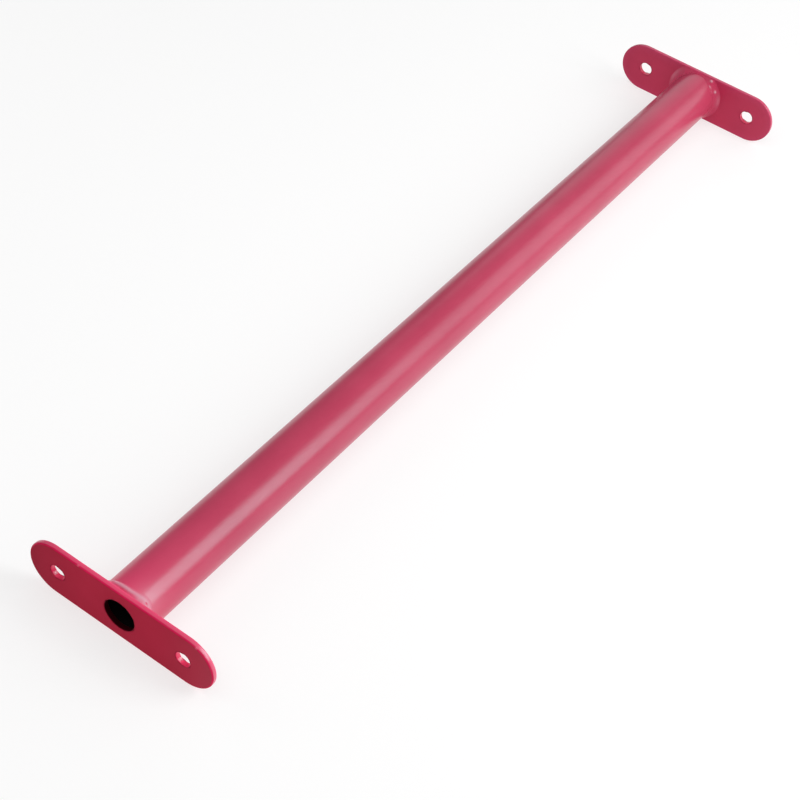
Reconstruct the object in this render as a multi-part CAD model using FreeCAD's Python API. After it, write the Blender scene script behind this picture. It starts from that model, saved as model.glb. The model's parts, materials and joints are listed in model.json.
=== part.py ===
import FreeCAD, Part
import os

# A straight hand bar for a climbing or exercise frame. A round steel tube is cut square, butted
# against a flat flange plate at each end and welded to it all round. Each plate is bolted to a
# post through its two outer holes, and its middle hole vents and drains the tube.
#
# Frame: +X runs along the tube, +Y along the plates and +Z across them. The origin is on the
# tube's axis, half way along it. Lengths are in millimetres.

# Tube
TUBE_OD = 32.0
TUBE_WALL = 2.0
TUBE_LENGTH = 600.0

# End plates
PLATE_THICKNESS = 3.0
PLATE_LENGTH = 120.0
PLATE_SIDE_MARGIN = 1.25    # what a plate stands proud of the tube on each long side
PLATE_EDGE_RADIUS = 1.0     # rounding of the outline's edges, the same on both faces
BOLT_HOLE_D = 9.0           # clears an M8 bolt
BOLT_END_DISTANCE = 19.0    # from a plate's end to the centre of its bolt hole
VENT_HOLE_D = 19.5

# Weld beads
WELD_LEG_ON_TUBE = 5.0
WELD_LEG_ON_PLATE = 4.5
WELD_BULGE = 0.4            # how far the bead's face bows out from a straight one

# Worked out from the values above
TUBE_RADIUS = TUBE_OD / 2
TUBE_END_X = TUBE_LENGTH / 2
PLATE_WIDTH = TUBE_OD + 2 * PLATE_SIDE_MARGIN
BOLT_Y = PLATE_LENGTH / 2 - BOLT_END_DISTANCE

ORIGIN = FreeCAD.Vector(0, 0, 0)
X_AXIS = FreeCAD.Vector(1, 0, 0)
Z_AXIS = FreeCAD.Vector(0, 0, 1)


def rod(diameter, x_start, length, y=0.0):
    """A cylinder along +X, level with the tube's axis."""
    return Part.makeCylinder(diameter / 2, length, FreeCAD.Vector(x_start, y, 0), X_AXIS)


def plate_blank(x_start, thickness):
    """The plate's outline, with full-round ends, extruded along +X."""
    radius = PLATE_WIDTH / 2
    centre = PLATE_LENGTH / 2 - radius

    def point(y, z):
        return FreeCAD.Vector(x_start, y, z)

    outline = Part.Wire([
        Part.LineSegment(point(-centre, radius), point(centre, radius)).toShape(),
        Part.Arc(point(centre, radius), point(centre + radius, 0), point(centre, -radius)).toShape(),
        Part.LineSegment(point(centre, -radius), point(-centre, -radius)).toShape(),
        Part.Arc(point(-centre, -radius), point(-centre - radius, 0), point(-centre, radius)).toShape(),
    ])
    return Part.Face(outline).extrude(X_AXIS * thickness)


def grip_tube():
    """The round tube, square at both ends."""
    bore_d = TUBE_OD - 2 * TUBE_WALL
    return rod(TUBE_OD, -TUBE_END_X, TUBE_LENGTH).cut(rod(bore_d, -TUBE_END_X, TUBE_LENGTH))


def end_plate():
    """The right-hand plate: rounded along its outline, with two bolt holes and the vent hole."""
    blank = plate_blank(TUBE_END_X, PLATE_THICKNESS)
    outline_edges = [edge for edge in blank.Edges if edge.BoundBox.XLength < 0.001]
    plate = blank.makeFillet(PLATE_EDGE_RADIUS, outline_edges)
    holes = [rod(VENT_HOLE_D, TUBE_END_X, PLATE_THICKNESS)]
    for y in (-BOLT_Y, BOLT_Y):
        holes.append(rod(BOLT_HOLE_D, TUBE_END_X, PLATE_THICKNESS, y))
    return plate.cut(holes)


def weld_bead(plate):
    """The right-hand fillet weld: a ring round the tube's foot, no wider than the plate.

    Where the plate is hardly wider than the tube, the bead runs over the plate's rounded edge.
    """
    tube_toe = FreeCAD.Vector(TUBE_END_X - WELD_LEG_ON_TUBE, 0, TUBE_RADIUS)
    plate_toe = FreeCAD.Vector(TUBE_END_X, 0, TUBE_RADIUS + WELD_LEG_ON_PLATE)
    chord = plate_toe - tube_toe
    outward = FreeCAD.Vector(-chord.z, 0, chord.x).normalize()
    crown = (tube_toe + plate_toe) * 0.5 + outward * WELD_BULGE
    outer_corner = plate_toe + X_AXIS * PLATE_EDGE_RADIUS
    inner_corner = FreeCAD.Vector(outer_corner.x, 0, TUBE_RADIUS)
    section = Part.Wire([
        Part.Arc(tube_toe, crown, plate_toe).toShape(),
        Part.LineSegment(plate_toe, outer_corner).toShape(),
        Part.LineSegment(outer_corner, inner_corner).toShape(),
        Part.LineSegment(inner_corner, tube_toe).toShape(),
    ])
    ring = Part.Face(section).revolve(ORIGIN, X_AXIS, 360)
    within_plate = plate_blank(tube_toe.x, outer_corner.x - tube_toe.x)
    return ring.common(within_plate).cut(plate)


def turned_round(shape):
    """The same piece for the left-hand end, half a turn about +Z."""
    copy = shape.copy()
    copy.rotate(ORIGIN, Z_AXIS, 180)
    return copy


def main():
    os.makedirs("parts", exist_ok=True)
    plate = end_plate()
    bead = weld_bead(plate)
    nodes = {
        "grip_tube": grip_tube(),
        "left_end_plate": turned_round(plate),
        "right_end_plate": plate,
        "left_weld_bead": turned_round(bead),
        "right_weld_bead": bead,
    }
    for name, shape in nodes.items():
        shape.exportStep(f"parts/{name}.step")


main()
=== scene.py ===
import json
import math

import bpy
from mathutils import Matrix, Vector, geometry, noise


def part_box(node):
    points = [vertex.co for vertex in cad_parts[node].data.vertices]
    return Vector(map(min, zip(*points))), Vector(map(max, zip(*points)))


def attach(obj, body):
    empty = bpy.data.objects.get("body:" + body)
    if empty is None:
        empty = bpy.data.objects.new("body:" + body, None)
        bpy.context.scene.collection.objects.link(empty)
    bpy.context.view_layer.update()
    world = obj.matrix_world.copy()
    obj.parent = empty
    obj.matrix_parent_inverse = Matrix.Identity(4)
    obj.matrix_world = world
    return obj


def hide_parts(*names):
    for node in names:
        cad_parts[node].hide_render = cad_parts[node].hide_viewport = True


# A powder-coated steel hand bar: a tube, two flange plates and two weld beads. Metres throughout.
# +X runs along the tube, +Y along the plates and +Z across them.

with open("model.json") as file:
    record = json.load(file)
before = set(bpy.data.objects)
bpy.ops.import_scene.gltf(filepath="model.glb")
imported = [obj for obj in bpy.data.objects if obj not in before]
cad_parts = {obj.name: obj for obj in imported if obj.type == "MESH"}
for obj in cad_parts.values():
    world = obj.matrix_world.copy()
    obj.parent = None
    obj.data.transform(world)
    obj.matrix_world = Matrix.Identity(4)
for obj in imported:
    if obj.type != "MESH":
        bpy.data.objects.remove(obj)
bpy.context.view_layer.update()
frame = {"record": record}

MM = 0.001
MOUNTS = {mount["name"]: mount for mount in frame["record"]["mounts"]}

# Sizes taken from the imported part
TUBE_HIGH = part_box("grip_tube")[1]
PLATE_LOW, PLATE_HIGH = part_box("right_end_plate")
WELD_LOW, WELD_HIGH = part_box("right_weld_bead")
TUBE_END = TUBE_HIGH.x
TUBE_RADIUS = TUBE_HIGH.z
PLATE_OUTER = PLATE_HIGH.x
PLATE_THICKNESS = PLATE_HIGH.x - PLATE_LOW.x
PLATE_HALF_LENGTH = PLATE_HIGH.y
PLATE_HALF_WIDTH = PLATE_HIGH.z
PLATE_END_CENTRE = PLATE_HALF_LENGTH - PLATE_HALF_WIDTH  # the y of each round end's centre
BOLT_Y = MOUNTS["right_bolts"]["dims"]["spacing_x_mm"] * MM / 2
BOLT_RADIUS = MOUNTS["right_bolts"]["dims"]["hole_r_mm"] * MM
VENT_RADIUS = MOUNTS["right_vent"]["dims"]["r_mm"] * MM
WELD_LEG_TUBE = TUBE_END - WELD_LOW.x
WELD_LEG_PLATE = WELD_HIGH.y - TUBE_RADIUS

# The tube's mesh and coat
TUBE_WALL = 2.0 * MM
TUBE_AROUND = 192
TUBE_STEP = 3.0 * MM
LEFT_END_LIGHT_LENGTH = 28.0 * MM  # over which painted light makes the coat paler towards the left end
# A painted highlight beside the left bead's spill, which widens the tube's highlight there: its share, the
# angle of its middle and its reach
SPILL_HIGHLIGHT_SHARE = 0.45
SPILL_HIGHLIGHT_ANGLE = 134.0
SPILL_HIGHLIGHT_SPREAD = 27.0
SPILL_HIGHLIGHT_LENGTH = 14.0 * MM

# The plates' mesh. A profile goes across the plate, from its inner face to its outer face.
EDGE_RADIUS = 1.0 * MM       # the outline's rounding beside each plate's outer face
CRISP_RADIUS = 0.45 * MM     # and beside its inner face
EDGE_STEPS = 8
ARC_STEPS = 90               # round each end of the outline
SIDE_STEPS = 160             # along each straight side of it
RIM_RADIUS = 0.35 * MM       # the coat's soft edge round each hole
RIM_STEPS = 5
SUPPORT = 0.25 * MM          # a row of points beside each rounded edge, which keeps the flats flat
HOLES = ((-BOLT_Y, BOLT_RADIUS, 64), (BOLT_Y, BOLT_RADIUS, 64), (0.0, VENT_RADIUS, 96))  # y, radius, points
FACE_GRID = 2.5 * MM
GRID_CLEARANCE = 0.7         # in grid steps, between a hole's rim and the nearest grid point
CDT_INSIDE = 1               # the triangulation keeps what lies inside the outline
CDT_MERGE = 1e-7

# The plates' coat
EDGE_COAT_TILT = 0.4         # the edge coat is on what faces less than this share along the tube
OUTER_TONE_START = 0.6       # where across the outline's edge its tone starts to turn to the painted saturated shade
OUTER_TONE_SPAN = 1 / 3      # and how much of the thickness that takes
VENT_SHADE = 0.96         # how much painted shade darkens the vent's wall
BOLT_SATURATED_SHADE_SHARE = 0.8         # how much painted saturated shade, for light bounced inside them, the bolt holes' walls take
END_START = 1 / 3            # where the film starts to change, as a share of the half length
END_POWER = 1.5
# How much painted shade darkens the +Y end, and how much painted light makes the -Y end paler
LEFT_END_LIGHTING = (0.25, 0.07)
RIGHT_END_LIGHTING = (0.12, 0.03)
# Paint nibs on the left plate's outer edge, as (y, z)
LEFT_NIBS = ((0.0270, PLATE_HALF_WIDTH), (-0.0488, 0.0161))
NIB_RADIUS = 1.0 * MM
NIB_HEIGHT = 0.40 * MM
NIB_LEAN = (0.6, 0.8)        # its direction: outwards along the tube and up

# The beads
WELD_AROUND = 540
WELD_ACROSS = 26
WELD_BULGE = 0.45 * MM
WELD_SINK = 0.10 * MM        # how far the bead's edges sit under the metal they are welded to
WELD_COVE = 1.35             # 1 for a straight fillet, more for one that runs out smoothly at both toes
WELD_RIPPLE = 0.035 * MM
WELD_RIPPLES = 66
RIPPLE_BOW = 5.0             # how strongly each ripple is bowed
RIPPLE_WANDER = 3.0          # and how unevenly they are spaced
WANDER_SCALE = 2.0           # of the noise that makes the legs and the ripples uneven
WANDER_SHIFT = 10.0          # its shift, to opposite sides for the two beads
TUBE_LEG_SHARES = (0.96, 0.10)   # a leg's steady share of the CAD leg, and the share that wanders
PLATE_LEG_SHARES = (0.98, 0.08)
TOP_ANGLE = 82.0             # the stretch over the top where a bead can lose part of its leg on the tube
TOP_SPREAD = 34.0
SPILL_ANGLE = 130.0          # where a bead spills along the tube
SPILL_SPREAD = 22.0
SPILL_FLATTENING = 0.1       # the share of its spill by which a bead bulges less
MARK_FADE = 3.0              # how soon a mark reaches its full height away from the bead's toes
LEAST_SLOPE = 1e-6           # keeps a height finite where a bead runs along the plate

# Marks on each weld: angle round the tube from +Y towards +Z in degrees, place across the bead from the
# tube (0) to the plate (1), spread in degrees, spread across the bead, height in millimetres, and tone:
# 1 for the palest painted highlight, -1 for a hollow's painted saturated shade, less for a pinhole's painted
# shade
LEFT_MARKS = (
    (84.0, 0.36, 40.0, 0.15, 0.55, 0.75),      # a raised ridge over the top
    (88.0, 0.64, 18.0, 0.13, -0.38, -0.65),    # the long hollow between the ridge and the plate
    (92.0, 0.88, 26.0, 0.07, 0.12, 0.50),      # the hollow's other bank
    (130.0, 0.40, 17.0, 0.45, 0.00, 0.60),     # the flank on the spill, with a painted highlight
    (132.0, 0.42, 2.3, 0.05, -0.38, -1.8),     # a pinhole in the flank
    (203.0, 0.50, 5.0, 0.20, 0.40, 0.2),       # where the run starts
    (318.0, 0.45, 4.0, 0.18, 0.30, 0.2),       # where it stops
)
RIGHT_MARKS = (
    (121.0, 0.62, 2.8, 0.11, 0.60, 1.1),       # a lump near the plate
    (147.0, 0.44, 2.8, 0.11, 0.60, 1.1),       # a lump in the middle of the bead
    (130.0, 0.14, 4.5, 0.07, 0.28, 0.45),      # a raised streak along the toe, with a painted highlight
    (172.0, 0.70, 14.0, 0.22, 0.10, 0.20),     # a patch of painted light on one side
    (25.0, 0.75, 20.0, 0.22, 0.10, 0.20),      # and on the other
    (228.0, 0.50, 5.0, 0.20, 0.40, 0.2),       # where the run starts
    (338.0, 0.45, 4.0, 0.18, 0.30, 0.2),       # where it stops
)
PINHOLE_SLOPE = 0.4          # how fast a tone below -1 turns to painted shade
PINHOLE_LIMIT = 0.6
# Each bead's run: how much its leg on the plate varies, where that leg is widest in degrees, how far in
# radians the bead turns over the plate's edge, how much of its leg on the tube is lost over the top, and
# how much longer that leg is where the bead spills along the tube
LEFT_RUN = (0.8 * MM, 215.0, 2.9, 0.0, 3.0 * MM)
RIGHT_RUN = (0.9 * MM, 10.0, 0.6, 0.6, 0.0)

# Each coat: its darker and its lighter tone, its lighter tone on an edge, from build-up and painted light,
# and its gloss
# All are one powder coat; each part's tones are set apart to paint in the light and shade that falls on it
LEFT_TONES = ((0.44, 0.012, 0.042), (0.49, 0.016, 0.051), (0.91, 0.074, 0.19))
RIGHT_TONES = ((0.50, 0.030, 0.085), (0.55, 0.036, 0.097), (0.58, 0.050, 0.13))
COATS = {
    "tube_coat": ((0.50, 0.047, 0.104), (0.54, 0.057, 0.119), (0.74, 0.058, 0.15), 0.5),
    "left_face_coat": (*LEFT_TONES, 0.015),
    "left_edge_coat": (*LEFT_TONES, 0.8),
    "right_face_coat": (*RIGHT_TONES, 0.15),
    "right_edge_coat": (*RIGHT_TONES, 0.6),
    "left_weld_coat": ((0.64, 0.064, 0.15), (0.69, 0.074, 0.165), (0.80, 0.30, 0.40), 0.5),
    "right_weld_coat": ((0.50, 0.034, 0.092), (0.55, 0.042, 0.107), (0.80, 0.42, 0.50), 0.2),
}
# What every coat turns to where a piece takes painted light (a whitish-pink highlight), painted saturated
# shade or painted shade
PAINTED_LIGHT_COLOUR = (0.72, 0.38, 0.46)
SATURATED_SHADE_COLOUR = (0.82, 0.015, 0.10)
SHADE_COLOUR = (0.012, 0.001, 0.002)
HIGHLIGHT_TINT = (0.4, 1.0, 1.0)  # takes red out of the highlights, which makes them greyer
COAT_ROUGHNESS = (0.27, 0.33)
CLOUD_RANGE = (0.3, 0.7)
# Noise textures: scale per metre, detail and, where it isn't 0.5, roughness
CLOUD_NOISE = (35.0, 3.0)
SHEEN_NOISE = (160.0, 2.0)
PEEL_NOISE = (600.0, 2.0, 0.4)
STEEL_NOISE = (180.0, 4.0)
PEEL_STRENGTH = 0.25
PEEL_DEPTH = 0.06 * MM

# The bore's bare steel
STEEL_DARK = (0.004, 0.003, 0.003)
STEEL_LIGHT = (0.012, 0.009, 0.009)
STEEL_ROUGHNESS = 0.7
STEEL_GLOSS = 0.1

# The stage
FLOOR_HALF = 15.0
FLOOR_COLOUR = (0.34, 0.34, 0.34)
FLOOR_ROUGHNESS = 0.9
FLOOR_GLOW = 0.66
WORLD_LIGHT = 0.15           # the world's strength as a light
WORLD_SEEN = 0.85            # and as the camera sees it
WHITE = (1.0, 1.0, 1.0)
# The soft boxes, as (name, place, size, power in watts)
SOFT_BOXES = (
    ("key_box", (0.30, -0.88, 0.70), (0.60, 0.90), 9.4),
    ("side_box", (1.10, -0.77, 0.67), (0.75, 1.0), 4.0),
    ("top_box", (-0.45, 0.0, 1.2), (0.9, 1.2), 5.4),
    ("left_box", (-0.4, 1.0, 0.6), (0.9, 0.7), 2.6),
    ("end_box", (1.45, 0.48, 0.56), (1.2, 0.9), 3.1),
    ("near_box", (-1.4, -0.7, 0.5), (1.2, 0.7), 1.3),
)

# The camera, with its angles in degrees
CAMERA_AIM = Vector((-0.0884, -0.0184, 0.0))
CAMERA_DISTANCE = 0.9794
CAMERA_AZIMUTH = 61.2
CAMERA_ELEVATION = 45.38
CAMERA_ROLL = 9.36
CAMERA_LENS = 77.8
CAMERA_SENSOR = 36.0
CAMERA_CLIP = 0.01


def clamped(value, high=1.0):
    """The value kept between 0 and high."""
    return min(max(value, 0.0), high)


def degrees_away(degrees, middle):
    """The signed angle from middle to degrees, from -180 to 180."""
    return (degrees - middle + 180) % 360 - 180


# Materials

def node_material(name):
    """An empty Principled material: returns it with its node tree and shader."""
    material = bpy.data.materials.new(name)
    material.use_nodes = True
    tree = material.node_tree
    return material, tree, tree.nodes["Principled BSDF"]


def texture_noise(tree, scale, detail, roughness=0.5):
    """The value of a noise texture that is fixed to the object."""
    coordinates = tree.nodes.new("ShaderNodeTexCoord")
    node = tree.nodes.new("ShaderNodeTexNoise")
    node.inputs["Scale"].default_value = scale
    node.inputs["Detail"].default_value = detail
    node.inputs["Roughness"].default_value = roughness
    tree.links.new(coordinates.outputs["Object"], node.inputs["Vector"])
    return node.outputs["Fac"]


def ramped(tree, value, first, second, ends=(0.0, 1.0)):
    """A colour that goes from first to second as the socket value goes from one of the ends to the other."""
    node = tree.nodes.new("ShaderNodeValToRGB")
    for element, position, colour in zip(node.color_ramp.elements, ends, (first, second)):
        element.position = position
        element.color = (*colour, 1.0)
    tree.links.new(value, node.inputs["Fac"])
    return node.outputs["Color"]


def mixed(tree, share, first, second):
    """A colour that goes from the socket first to the fixed colour second as share rises."""
    node = tree.nodes.new("ShaderNodeMix")
    node.data_type = "RGBA"
    tree.links.new(share, node.inputs["Factor"])
    tree.links.new(first, node.inputs["A"])
    node.inputs["B"].default_value = (*second, 1.0)
    return node.outputs["Result"]


def mapped(tree, value, low, high):
    """A number that goes from low to high as the socket value goes from 0 to 1."""
    node = tree.nodes.new("ShaderNodeMapRange")
    node.inputs["To Min"].default_value = low
    node.inputs["To Max"].default_value = high
    tree.links.new(value, node.inputs["Value"])
    return node.outputs["Result"]


def painted_share(tree, name):
    """The value of a point attribute."""
    node = tree.nodes.new("ShaderNodeAttribute")
    node.attribute_name = name
    return node.outputs["Fac"]


def powder_coat(name, dark, light, build_up_and_painted_light, gloss):
    """Semi-gloss powder coat: cloudy film, lighter edges from build-up and painted light, painted
    highlights, painted saturated shade, painted shade, orange peel.
    """
    material, tree, shader = node_material(name)
    shader.inputs["Specular IOR Level"].default_value = gloss
    shader.inputs["Specular Tint"].default_value = (*HIGHLIGHT_TINT, 1.0)
    colour = ramped(tree, texture_noise(tree, *CLOUD_NOISE), dark, light, CLOUD_RANGE)
    layers = (("build_up_and_painted_light", build_up_and_painted_light), ("painted_light", PAINTED_LIGHT_COLOUR), ("painted_saturated_shade", SATURATED_SHADE_COLOUR), ("painted_shade", SHADE_COLOUR))
    for attribute, layer_colour in layers:
        colour = mixed(tree, painted_share(tree, attribute), colour, layer_colour)
    tree.links.new(colour, shader.inputs["Base Color"])
    roughness = mapped(tree, texture_noise(tree, *SHEEN_NOISE), *COAT_ROUGHNESS)
    tree.links.new(roughness, shader.inputs["Roughness"])
    bump = tree.nodes.new("ShaderNodeBump")
    bump.inputs["Strength"].default_value = PEEL_STRENGTH
    bump.inputs["Distance"].default_value = PEEL_DEPTH
    tree.links.new(texture_noise(tree, *PEEL_NOISE), bump.inputs["Height"])
    tree.links.new(bump.outputs["Normal"], shader.inputs["Normal"])
    return material


def bare_steel():
    """The tube's unpainted bore: dull dark mill scale."""
    material, tree, shader = node_material("bore_steel")
    shader.inputs["Roughness"].default_value = STEEL_ROUGHNESS
    shader.inputs["Specular IOR Level"].default_value = STEEL_GLOSS
    colour = ramped(tree, texture_noise(tree, *STEEL_NOISE), STEEL_DARK, STEEL_LIGHT)
    tree.links.new(colour, shader.inputs["Base Color"])
    return material


# Mesh helpers

def add_piece(name, points, faces, materials):
    """A smooth-shaded object in the scene, with its materials in order."""
    mesh = bpy.data.meshes.new(name)
    mesh.from_pydata(points, [], faces)
    for material in materials:
        mesh.materials.append(material)
    mesh.shade_smooth()
    mesh.update()
    piece = bpy.data.objects.new(name, mesh)
    bpy.context.scene.collection.objects.link(piece)
    return piece


def paint(piece, name, values):
    """Stores one number for every point of the piece."""
    attribute = piece.data.attributes.new(name, "FLOAT", "POINT")
    attribute.data.foreach_set("value", values)


def stand_for(piece, node):
    """Fixes the piece to the root body, in the place of the CAD node."""
    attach(piece, "root")
    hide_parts(node)


def bridge(faces, first, second, flip=False):
    """Quads between two closed loops of point numbers of the same length."""
    count = len(first)
    for i in range(count):
        j = (i + 1) % count
        quad = (first[i], first[j], second[j], second[i])
        faces.append(quad[::-1] if flip else quad)


# The tube

def spill_highlight_at(x, y, z):
    """How much painted highlight the coat takes beside the left bead's spill."""
    turned = degrees_away(math.degrees(math.atan2(z, y)), SPILL_HIGHLIGHT_ANGLE) / SPILL_HIGHLIGHT_SPREAD
    along = (TUBE_END + x) / SPILL_HIGHLIGHT_LENGTH
    return SPILL_HIGHLIGHT_SHARE * math.exp(-turned ** 2 - along ** 2)


def build_tube(coat, bore):
    """The tube with its wall: coat outside and on both end rings, bore inside."""
    rings = round(2 * TUBE_END / TUBE_STEP)
    points = []
    faces = []
    outer = []
    inner = []
    for radius, loops in ((TUBE_RADIUS, outer), (TUBE_RADIUS - TUBE_WALL, inner)):
        for k in range(rings + 1):
            x = -TUBE_END + 2 * TUBE_END * k / rings
            loop = []
            for i in range(TUBE_AROUND):
                angle = 2 * math.pi * i / TUBE_AROUND
                loop.append(len(points))
                points.append((x, radius * math.cos(angle), radius * math.sin(angle)))
            loops.append(loop)
    for k in range(rings):
        bridge(faces, outer[k], outer[k + 1], flip=True)
    bridge(faces, outer[-1], inner[-1], flip=True)
    bridge(faces, outer[0], inner[0])
    bore_start = len(faces)
    for k in range(rings):
        bridge(faces, inner[k], inner[k + 1])
    piece = add_piece("hand_tube", points, faces, [coat, bore])
    # Painted light: the coat gets paler towards the left end.
    paint(piece, "build_up_and_painted_light", [math.exp(-(TUBE_END + point[0]) / LEFT_END_LIGHT_LENGTH) for point in points])
    # A painted highlight beside the left bead's spill.
    paint(piece, "painted_light", [spill_highlight_at(*point) for point in points])
    for polygon in piece.data.polygons[bore_start:]:
        polygon.material_index = 1
    stand_for(piece, "grip_tube")


# The plates

def obround_loop(inset):
    """Points of the plate's outline drawn in by inset, the same number for every inset."""
    radius = PLATE_HALF_WIDTH - inset
    loop = []
    for side in (1, -1):
        for i in range(ARC_STEPS):
            angle = -math.pi / 2 + math.pi * i / ARC_STEPS
            y = side * (PLATE_END_CENTRE + radius * math.cos(angle))
            loop.append((y, side * radius * math.sin(angle)))
        for i in range(SIDE_STEPS):
            share = i / SIDE_STEPS
            loop.append((side * PLATE_END_CENTRE * (1 - 2 * share), side * radius))
    return loop


def circle_loop(radius, y, count):
    """Points of a circle round (y, 0)."""
    angles = [2 * math.pi * i / count for i in range(count)]
    return [(y + radius * math.cos(angle), radius * math.sin(angle)) for angle in angles]


def quarter_round(radius, steps):
    """(depth, inset) pairs from a face of the plate to its edge."""
    angles = [math.pi / 2 * i / steps for i in range(steps + 1)]
    return [(radius * (1 - math.cos(angle)), radius * (1 - math.sin(angle))) for angle in angles]


def rounded_profile(inner_radius, outer_radius, steps):
    """(depth, inset) pairs across an edge of the plate, from its inner face to its outer face."""
    inner = quarter_round(inner_radius, steps)
    mirrored = reversed(quarter_round(outer_radius, steps))
    outer = [(PLATE_THICKNESS - depth, inset) for depth, inset in mirrored]
    return [(0.0, inner_radius + SUPPORT), *inner, *outer, (PLATE_THICKNESS, outer_radius + SUPPORT)]


def raise_nibs(points, nibs, side):
    """Lifts small paint nibs on the outer edge; returns the share of each point that is nib."""
    outward = Vector((side * NIB_LEAN[0], 0.0, NIB_LEAN[1]))
    shares = []
    for i, point in enumerate(points):
        share = 0.0
        for y, z in nibs:
            distance = (Vector(point) - Vector((side * PLATE_OUTER, y, z))).length
            share = max(share, 1 - (distance / NIB_RADIUS) ** 2)
        shares.append(share)
        points[i] = Vector(point) + outward * NIB_HEIGHT * share ** 2
    return shares


def end_share(y):
    """How near y is to the plate's +Y end: 0 up to END_START of the way, then rising to 1."""
    return max((y / PLATE_HALF_LENGTH - END_START) / (1 - END_START), 0.0) ** END_POWER


def fill_face(points, faces, loops, x, toward_minus_x):
    """Triangles of one flat face, from the outline to the holes, with grid points between."""
    known = [index for loop in loops for index in loop]
    flat = [Vector(points[index][1:]) for index in known]
    edges = []
    start = 0
    for loop in loops:
        edges.extend((start + i, start + (i + 1) % len(loop)) for i in range(len(loop)))
        start += len(loop)
    reach = PLATE_HALF_WIDTH - EDGE_RADIUS - FACE_GRID
    clear = RIM_RADIUS + GRID_CLEARANCE * FACE_GRID
    across = int(PLATE_HALF_WIDTH / FACE_GRID)
    along = int(PLATE_HALF_LENGTH / FACE_GRID)
    for i in range(-along, along + 1):
        for j in range(-across, across + 1):
            y = i * FACE_GRID
            z = (j + 0.5 * (i % 2)) * FACE_GRID
            beyond = math.hypot(max(abs(y) - PLATE_END_CENTRE, 0.0), z)
            near_hole = any(math.hypot(y - hole_y, z) < radius + clear for hole_y, radius, _ in HOLES)
            if beyond < reach and not near_hole:
                flat.append(Vector((y, z)))
    made = geometry.delaunay_2d_cdt(flat, edges, [], CDT_INSIDE, CDT_MERGE)
    new_points, triangles, origins = made[0], made[2], made[3]
    numbers = []
    for position, origin in zip(new_points, origins):
        if origin and origin[0] < len(known):
            numbers.append(known[origin[0]])
        else:
            numbers.append(len(points))
            points.append((x, position.x, position.y))
    for triangle in triangles:
        middle = sum((new_points[i] for i in triangle), Vector((0.0, 0.0))) / 3
        if any(math.hypot(middle.x - y, middle.y) < radius for y, radius, _ in HOLES):
            continue
        corners = [numbers[i] for i in triangle]
        faces.append(corners[::-1] if toward_minus_x else corners)


def build_plate(name, node, side, coats, nibs, end_lighting):
    """side is -1 for the left plate and 1 for the right one. coats are the faces' and then the edges'."""
    points = []
    faces = []
    build_up_and_painted_light = []
    painted_shade = []
    painted_saturated_shade = []
    inner_x = side * TUBE_END

    def add_loop(depth, flat_points, build_up_and_light_share, painted_shade_share, saturated_shade_share):
        start = len(points)
        points.extend((inner_x + side * depth, y, z) for y, z in flat_points)
        build_up_and_painted_light.extend([build_up_and_light_share] * len(flat_points))
        painted_shade.extend([painted_shade_share] * len(flat_points))
        painted_saturated_shade.extend([saturated_shade_share] * len(flat_points))
        return list(range(start, len(points)))

    outline = []
    for depth, inset in rounded_profile(CRISP_RADIUS, EDGE_RADIUS, EDGE_STEPS):
        # Across the outline's edge, the inner side takes the lighter edge tone and the outer side painted
        # saturated shade.
        raised = 1 - min(inset / EDGE_RADIUS, 1.0) ** 2
        outer_share = clamped((depth / PLATE_THICKNESS - OUTER_TONE_START) / OUTER_TONE_SPAN)
        build_up_and_light_share = raised * (1 - outer_share)
        outline.append(add_loop(depth, obround_loop(inset), build_up_and_light_share, 0.0, raised * outer_share))
    for first, second in zip(outline, outline[1:]):
        bridge(faces, first, second, flip=side < 0)
    borders = [outline]
    for y, radius, count in HOLES:
        wall = []
        for depth, inset in rounded_profile(RIM_RADIUS, RIM_RADIUS, RIM_STEPS):
            inside = 1 - min(inset / RIM_RADIUS, 1.0)
            # The vent's wall takes painted shade; the bolt holes' walls take the lighter edge tone and
            # painted saturated shade, for their glints and bounced light.
            vent_shade_share, bolt_wall_share = (VENT_SHADE * inside, 0.0) if radius == VENT_RADIUS else (0.0, inside)
            circle = circle_loop(radius + inset, y, count)
            wall.append(add_loop(depth, circle, bolt_wall_share, vent_shade_share, BOLT_SATURATED_SHADE_SHARE * bolt_wall_share))
        for first, second in zip(wall, wall[1:]):
            bridge(faces, first, second, flip=side > 0)
        borders.append(wall)
    for which, depth in ((0, 0.0), (-1, PLATE_THICKNESS)):
        toward_minus_x = (which == 0) == (side > 0)
        loops = [border[which] for border in borders]
        fill_face(points, faces, loops, inner_x + side * depth, toward_minus_x)
    unpainted = [0.0] * (len(points) - len(build_up_and_painted_light))
    # Painted shade darkens the +Y end and painted light makes the -Y end paler.
    end_shade, end_light = end_lighting
    end_shade_shares = [end_shade * end_share(point[1]) for point in points]
    end_light_shares = [end_light * end_share(-point[1]) for point in points]
    nib_shares = raise_nibs(points, nibs, side)
    piece = add_piece(name, points, faces, coats)
    for polygon in piece.data.polygons:
        in_vent = math.hypot(polygon.center.y, polygon.center.z) < VENT_RADIUS + RIM_RADIUS
        polygon.material_index = int(abs(polygon.normal.x) < EDGE_COAT_TILT and not in_vent)
    paint(piece, "build_up_and_painted_light", build_up_and_painted_light + unpainted)
    # The nibs take painted light, for their glints.
    paint(piece, "painted_light", [max(pair) for pair in zip(nib_shares, end_light_shares)])
    paint(piece, "painted_shade", [max(pair) for pair in zip(painted_shade + unpainted, end_shade_shares)])
    paint(piece, "painted_saturated_shade", painted_saturated_shade + unpainted)
    stand_for(piece, node)


# The welds

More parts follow.
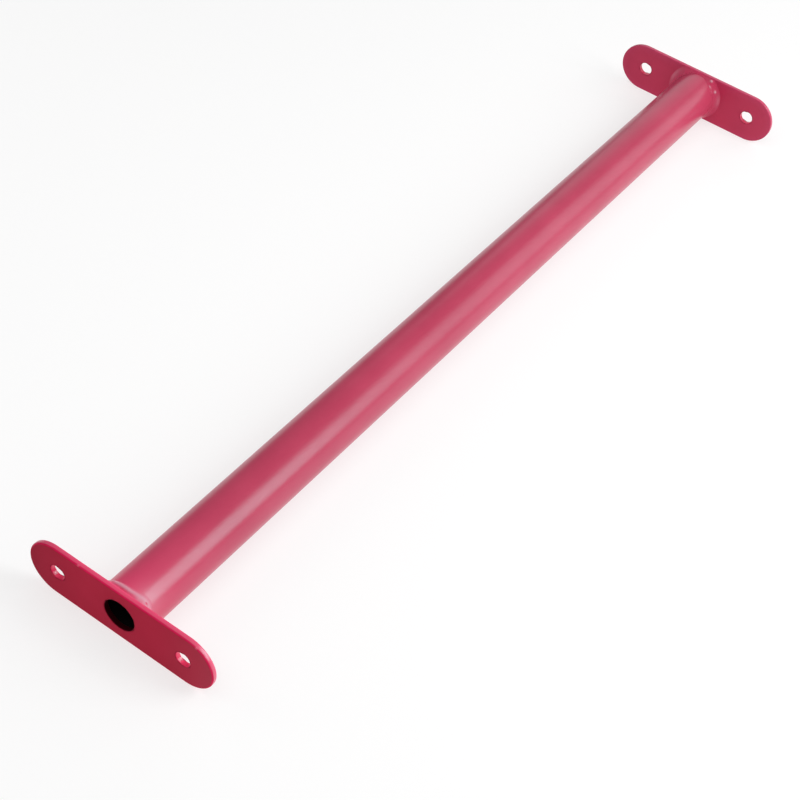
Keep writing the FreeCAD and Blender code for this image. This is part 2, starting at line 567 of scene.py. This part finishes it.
def plate_contact(angle, leg, furthest):
    """Where a bead that climbs the plate by leg ends, as (distance behind the plate's face, height).

    The leg runs up the face and then round the plate's rounded edge, by furthest radians at most.
    """
    slope = max(abs(math.sin(angle)), LEAST_SLOPE)
    flat_height = (PLATE_HALF_WIDTH - CRISP_RADIUS) / slope - TUBE_RADIUS
    if leg <= flat_height:
        return WELD_SINK, leg
    turn = min((leg - flat_height) / CRISP_RADIUS, furthest)
    if turn <= math.pi / 2:
        behind = CRISP_RADIUS * (1 - math.cos(turn))
        inset = CRISP_RADIUS * (1 - math.sin(turn))
    else:
        behind = CRISP_RADIUS * (1 + turn - math.pi / 2)
        inset = 0.0
    return behind + WELD_SINK, (PLATE_HALF_WIDTH - inset - WELD_SINK) / slope - TUBE_RADIUS


def mark_effect(marks, degrees, share):
    """The height and the tone that the marks add at one spot of a bead."""
    lift = 0.0
    tone = 0.0
    for mark_angle, mark_share, spread, share_spread, height, mark_tone in marks:
        away = degrees_away(degrees, mark_angle)
        strength = math.exp(-(away / spread) ** 2 - ((share - mark_share) / share_spread) ** 2)
        lift += strength * height * MM
        tone += strength * mark_tone
    return lift, tone


def bead_section(degrees, side, marks, run):
    """A cut through a bead, from the tube to the plate and back to its root, as (spot, tone) pairs.

    A spot is its distance from the plate's inner face and its height over the tube.
    """
    variation, widest, furthest, lost, spill = run
    angle = math.radians(degrees)
    around = (math.cos(angle) * WANDER_SCALE, math.sin(angle) * WANDER_SCALE)
    wander = noise.noise(Vector((*around, WANDER_SHIFT * side)))
    top = math.exp(-((degrees - TOP_ANGLE) / TOP_SPREAD) ** 4)
    spilt = spill * math.exp(-((degrees - SPILL_ANGLE) / SPILL_SPREAD) ** 2)
    tube_share = TUBE_LEG_SHARES[0] + TUBE_LEG_SHARES[1] * wander
    plate_share = PLATE_LEG_SHARES[0] + PLATE_LEG_SHARES[1] * wander
    leg_tube = WELD_LEG_TUBE * tube_share * (1 - lost * top) + spilt
    leg_plate = WELD_LEG_PLATE * plate_share + variation * math.cos(angle - math.radians(widest))
    behind, height = plate_contact(angle, leg_plate, furthest)
    toe = Vector((leg_tube, -WELD_SINK))
    chord = Vector((-behind, height)) - toe
    normal = Vector((chord.y, -chord.x)).normalized()
    bulge = WELD_BULGE - SPILL_FLATTENING * spilt
    section = []
    for k in range(WELD_ACROSS + 1):
        share = k / WELD_ACROSS
        swell = 4 * share * (1 - share)
        phase = WELD_RIPPLES * angle + RIPPLE_BOW * (share - 0.5) ** 2 + RIPPLE_WANDER * wander
        mark_lift, tone = mark_effect(marks, degrees, share)
        crest = (bulge + WELD_RIPPLE * math.sin(phase)) * swell
        lift = crest + mark_lift * min(1.0, MARK_FADE * swell)
        cove = Vector((1 - (1 - share) ** WELD_COVE, share ** WELD_COVE))
        section.append((toe + chord * cove + normal * lift, tone))
    section.append((Vector((-WELD_SINK, -2 * WELD_SINK)), 0.0))
    return section


def build_weld(name, node, side, coat, marks, run):
    """side is -1 for the left bead and 1 for the right one."""
    points = []
    faces = []
    tones = []
    loops = [[] for _ in range(WELD_ACROSS + 2)]
    for i in range(WELD_AROUND):
        degrees = 360 * i / WELD_AROUND
        angle = math.radians(degrees)
        out = Vector((0.0, math.cos(angle), math.sin(angle)))
        for loop, (spot, tone) in zip(loops, bead_section(degrees, side, marks, run)):
            point = Vector((side * (TUBE_END - spot.x), 0, 0)) + out * (TUBE_RADIUS + spot.y)
            point.z = max(point.z, -PLATE_HALF_WIDTH)
            loop.append(len(points))
            points.append(point)
            tones.append(tone)
    for first, second in zip(loops, loops[1:] + loops[:1]):
        bridge(faces, first, second, flip=side < 0)
    piece = add_piece(name, points, faces, [coat])
    # The marks' tones: painted highlights, painted saturated shade in hollows and painted shade in pinholes.
    paint(piece, "painted_light", [clamped(tone) for tone in tones])
    paint(piece, "painted_saturated_shade", [clamped(-tone) for tone in tones])
    paint(piece, "painted_shade", [clamped(-PINHOLE_SLOPE * (1 + tone), PINHOLE_LIMIT) for tone in tones])
    stand_for(piece, node)


# Stage

def build_floor():
    """Pale paper that the bar stands on. It glows a little, which keeps its shadows faint."""
    material, _, shader = node_material("floor_paper")
    shader.inputs["Base Color"].default_value = (*FLOOR_COLOUR, 1.0)
    shader.inputs["Roughness"].default_value = FLOOR_ROUGHNESS
    shader.inputs["Emission Color"].default_value = (*WHITE, 1.0)
    shader.inputs["Emission Strength"].default_value = FLOOR_GLOW
    corners = ((-1, -1), (1, -1), (1, 1), (-1, 1))
    points = [(x * FLOOR_HALF, y * FLOOR_HALF, -PLATE_HALF_WIDTH) for x, y in corners]
    floor = add_piece("floor", points, [(0, 1, 2, 3)], [material])


def build_world():
    """A white world that is dim as a light and bright to the camera."""
    world = bpy.data.worlds.new("studio")
    world.use_nodes = True
    tree = world.node_tree
    background = tree.nodes["Background"]
    background.inputs["Color"].default_value = (*WHITE, 1.0)
    path = tree.nodes.new("ShaderNodeLightPath")
    strength = mapped(tree, path.outputs["Is Camera Ray"], WORLD_LIGHT, WORLD_SEEN)
    tree.links.new(strength, background.inputs["Strength"])
    bpy.context.scene.world = world


def soft_box(name, place, size, power):
    """A plain soft light at place that shines at the bar's middle."""
    data = bpy.data.lights.new(name, "AREA")
    data.shape = "RECTANGLE"
    data.size, data.size_y = size
    data.energy = power
    lamp = bpy.data.objects.new(name, data)
    lamp.location = place
    lamp.rotation_euler = lamp.location.to_track_quat("Z", "Y").to_euler()
    bpy.context.scene.collection.objects.link(lamp)


def build_camera():
    """The camera, aimed at CAMERA_AIM from the given distance and angles."""
    data = bpy.data.cameras.new("camera")
    data.lens = CAMERA_LENS
    data.sensor_width = CAMERA_SENSOR
    data.clip_start = CAMERA_CLIP
    azimuth = math.radians(CAMERA_AZIMUTH)
    elevation = math.radians(CAMERA_ELEVATION)
    level = math.cos(elevation)
    forward = Vector((math.sin(azimuth) * level, math.cos(azimuth) * level, -math.sin(elevation)))
    place = Matrix.Translation(CAMERA_AIM - forward * CAMERA_DISTANCE)
    turn = forward.to_track_quat("-Z", "Y").to_matrix().to_4x4()
    roll = Matrix.Rotation(math.radians(CAMERA_ROLL), 4, "Z")
    camera = bpy.data.objects.new("camera", data)
    camera.matrix_world = place @ turn @ roll
    bpy.context.scene.collection.objects.link(camera)
    bpy.context.scene.camera = camera


build_camera()
bpy.context.scene.view_settings.view_transform = "Standard"
build_floor()
build_world()
for box in SOFT_BOXES:
    soft_box(*box)
coats = {name: powder_coat(name, *recipe) for name, recipe in COATS.items()}
left_coats = (coats["left_face_coat"], coats["left_edge_coat"])
right_coats = (coats["right_face_coat"], coats["right_edge_coat"])
build_tube(coats["tube_coat"], bare_steel())
build_plate("left_plate", "left_end_plate", -1, left_coats, LEFT_NIBS, LEFT_END_LIGHTING)
build_plate("right_plate", "right_end_plate", 1, right_coats, (), RIGHT_END_LIGHTING)
build_weld("left_weld", "left_weld_bead", -1, coats["left_weld_coat"], LEFT_MARKS, LEFT_RUN)
build_weld("right_weld", "right_weld_bead", 1, coats["right_weld_coat"], RIGHT_MARKS, RIGHT_RUN)
